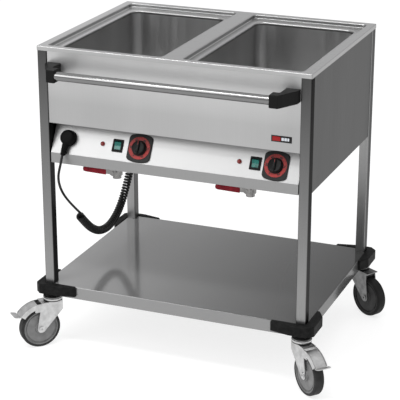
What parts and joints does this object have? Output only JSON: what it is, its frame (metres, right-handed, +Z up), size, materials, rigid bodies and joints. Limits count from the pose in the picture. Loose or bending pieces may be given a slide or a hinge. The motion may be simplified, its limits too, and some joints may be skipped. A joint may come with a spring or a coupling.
{
  "type": "steam table unit",
  "caption": "Mobile stainless steam table with side-by-side wells, slanted control strip, drain valves, push handle, bottom shelf with corner buffers, swivel castors and a curly mains lead.",
  "frame": {"origin": "on the floor under the middle of the cart", "axes": "+X along the top to the operator's right, -Y the operator's front, +Z up"},
  "size_m": [1.0113, 0.8089, 0.94],
  "materials": {
    "stainless": "fine brushed grain",
    "well_steel": "soft satin, drawn",
    "black_plastic": "matt moulded",
    "bezel_plastic": "satin moulded",
    "cord_jacket": "satin",
    "red_grip": "dipped vinyl",
    "red_scale": "printed",
    "green_switch": "translucent, glossy",
    "red_lens": "lens",
    "badge_print": "printed film",
    "tyre_rubber": "matt",
    "rim_plastic": "moulded",
    "zinc_steel": "bright zinc plate",
    "nickel_brass": "nickel plate",
    "bright_screw": "plated",
    "element_sheath": "heat tinted"
  },
  "bodies": {
    "cart": {"back_panel": "stainless", "badge": "badge_print", "base_pan": "stainless", "castor_mount_front_left": "zinc_steel", "castor_mount_front_right": "zinc_steel", "castor_mount_rear_left": "zinc_steel", "castor_mount_rear_right": "zinc_steel", "control_panel": "stainless", "cord_coil": "cord_jacket", "cord_gland": "black_plastic", "cord_lead": "cord_jacket", "corner_bumpers": "black_plastic", "dial_bezels": "bezel_plastic", "dial_rings": "red_scale", "drain_pipes": "nickel_brass", "front_apron": "stainless", "handle_bar": "stainless", "handle_bracket_left": "black_plastic", "handle_bracket_right": "black_plastic", "heating_elements": "element_sheath", "leg_front_left": "stainless", "leg_front_right": "stainless", "leg_rear_left": "stainless", "leg_rear_right": "stainless", "parking_socket": "black_plastic", "pilot_lamps": "red_lens", "plug": "black_plastic", "screws": "bright_screw", "shelf": "stainless", "side_panel_left": "stainless", "side_panel_right": "stainless", "switch_frames": "black_plastic", "thermostats": "bezel_plastic", "top_cover": "stainless", "valve_body_left": "nickel_brass", "valve_body_right": "nickel_brass", "well_left": "well_steel", "well_right": "well_steel"},
    "knob_left": {"knob_left": "black_plastic"},
    "knob_right": {"knob_right": "black_plastic"},
    "rocker_left": {"rocker_left": "green_switch"},
    "rocker_right": {"rocker_right": "green_switch"},
    "valve_lever_left": {"valve_lever_left": "nickel_brass", "valve_grip_left": "red_grip"},
    "valve_lever_right": {"valve_lever_right": "nickel_brass", "valve_grip_right": "red_grip"},
    "castor_front_left": {"castor_fork_front_left": "zinc_steel"},
    "wheel_front_left": {"wheel_hub_front_left": "rim_plastic", "tyre_front_left": "tyre_rubber"},
    "brake_front_left": {"brake_pedal_front_left": "zinc_steel"},
    "castor_front_right": {"castor_fork_front_right": "zinc_steel"},
    "wheel_front_right": {"wheel_hub_front_right": "rim_plastic", "tyre_front_right": "tyre_rubber"},
    "brake_front_right": {"brake_pedal_front_right": "zinc_steel"},
    "castor_rear_left": {"castor_fork_rear_left": "zinc_steel"},
    "wheel_rear_left": {"wheel_hub_rear_left": "rim_plastic", "tyre_rear_left": "tyre_rubber"},
    "castor_rear_right": {"castor_fork_rear_right": "zinc_steel"},
    "wheel_rear_right": {"wheel_hub_rear_right": "rim_plastic", "tyre_rear_right": "tyre_rubber"}
  },
  "joints": [
    {"name": "knob_left_turn", "type": "hinge", "parent": "cart", "child": "knob_left", "pos_m": [-0.1049, -0.29514, 0.66509], "axis": [0, 0.8755, -0.4832], "range_deg": [0, 300]},
    {"name": "knob_right_turn", "type": "hinge", "parent": "cart", "child": "knob_right", "pos_m": [0.3084, -0.29514, 0.66509], "axis": [0, 0.8755, -0.4832], "range_deg": [0, 300]},
    {"name": "rocker_left_tip", "type": "hinge", "parent": "cart", "child": "rocker_left", "pos_m": [-0.1744, -0.28288, 0.65833], "axis": [-1, 0, 0], "range_deg": [0, 16]},
    {"name": "rocker_right_tip", "type": "hinge", "parent": "cart", "child": "rocker_right", "pos_m": [0.2477, -0.28288, 0.65833], "axis": [-1, 0, 0], "range_deg": [0, 16]},
    {"name": "valve_lever_left_turn", "type": "hinge", "parent": "cart", "child": "valve_lever_left", "pos_m": [-0.21, -0.251, 0.563], "axis": [0, -1, 0], "range_deg": [0, 90]},
    {"name": "valve_lever_right_turn", "type": "hinge", "parent": "cart", "child": "valve_lever_right", "pos_m": [0.21, -0.251, 0.563], "axis": [0, -1, 0], "range_deg": [0, 90]},
    {"name": "castor_front_left_swivel", "type": "hinge", "parent": "cart", "child": "castor_front_left", "pos_m": [-0.3985, -0.2955, 0.15], "axis": [0, 0, 1], "continuous": true},
    {"name": "wheel_front_left_roll", "type": "hinge", "parent": "castor_front_left", "child": "wheel_front_left", "pos_m": [-0.42975, -0.32925, 0.0625], "axis": [0.7337, -0.6794, 0], "continuous": true},
    {"name": "brake_front_left_press", "type": "hinge", "parent": "castor_front_left", "child": "brake_front_left", "pos_m": [-0.43791, -0.33806, 0.134], "axis": [0.7337, -0.6794, 0], "range_deg": [0, 12]},
    {"name": "castor_front_right_swivel", "type": "hinge", "parent": "cart", "child": "castor_front_right", "pos_m": [0.3985, -0.2955, 0.15], "axis": [0, 0, 1], "continuous": true},
    {"name": "wheel_front_right_roll", "type": "hinge", "parent": "castor_front_right", "child": "wheel_front_right", "pos_m": [0.43295, -0.32598, 0.0625], "axis": [0.6626, 0.749, 0], "continuous": true},
    {"name": "brake_front_right_press", "type": "hinge", "parent": "castor_front_right", "child": "brake_front_right", "pos_m": [0.44194, -0.33393, 0.134], "axis": [0.6626, 0.749, 0], "range_deg": [0, 12]},
    {"name": "castor_rear_left_swivel", "type": "hinge", "parent": "cart", "child": "castor_rear_left", "pos_m": [-0.3985, 0.2955, 0.15], "axis": [0, 0, 1], "continuous": true},
    {"name": "wheel_rear_left_roll", "type": "hinge", "parent": "castor_rear_left", "child": "wheel_rear_left", "pos_m": [-0.40649, 0.3408, 0.0625], "axis": [-0.9848, -0.1736, 0], "continuous": true},
    {"name": "castor_rear_right_swivel", "type": "hinge", "parent": "cart", "child": "castor_rear_right", "pos_m": [0.3985, 0.2955, 0.15], "axis": [0, 0, 1], "continuous": true},
    {"name": "wheel_rear_right_roll", "type": "hinge", "parent": "castor_rear_right", "child": "wheel_rear_right", "pos_m": [0.43772, 0.27147, 0.0625], "axis": [0.5225, 0.8526, 0], "continuous": true}
  ]
}
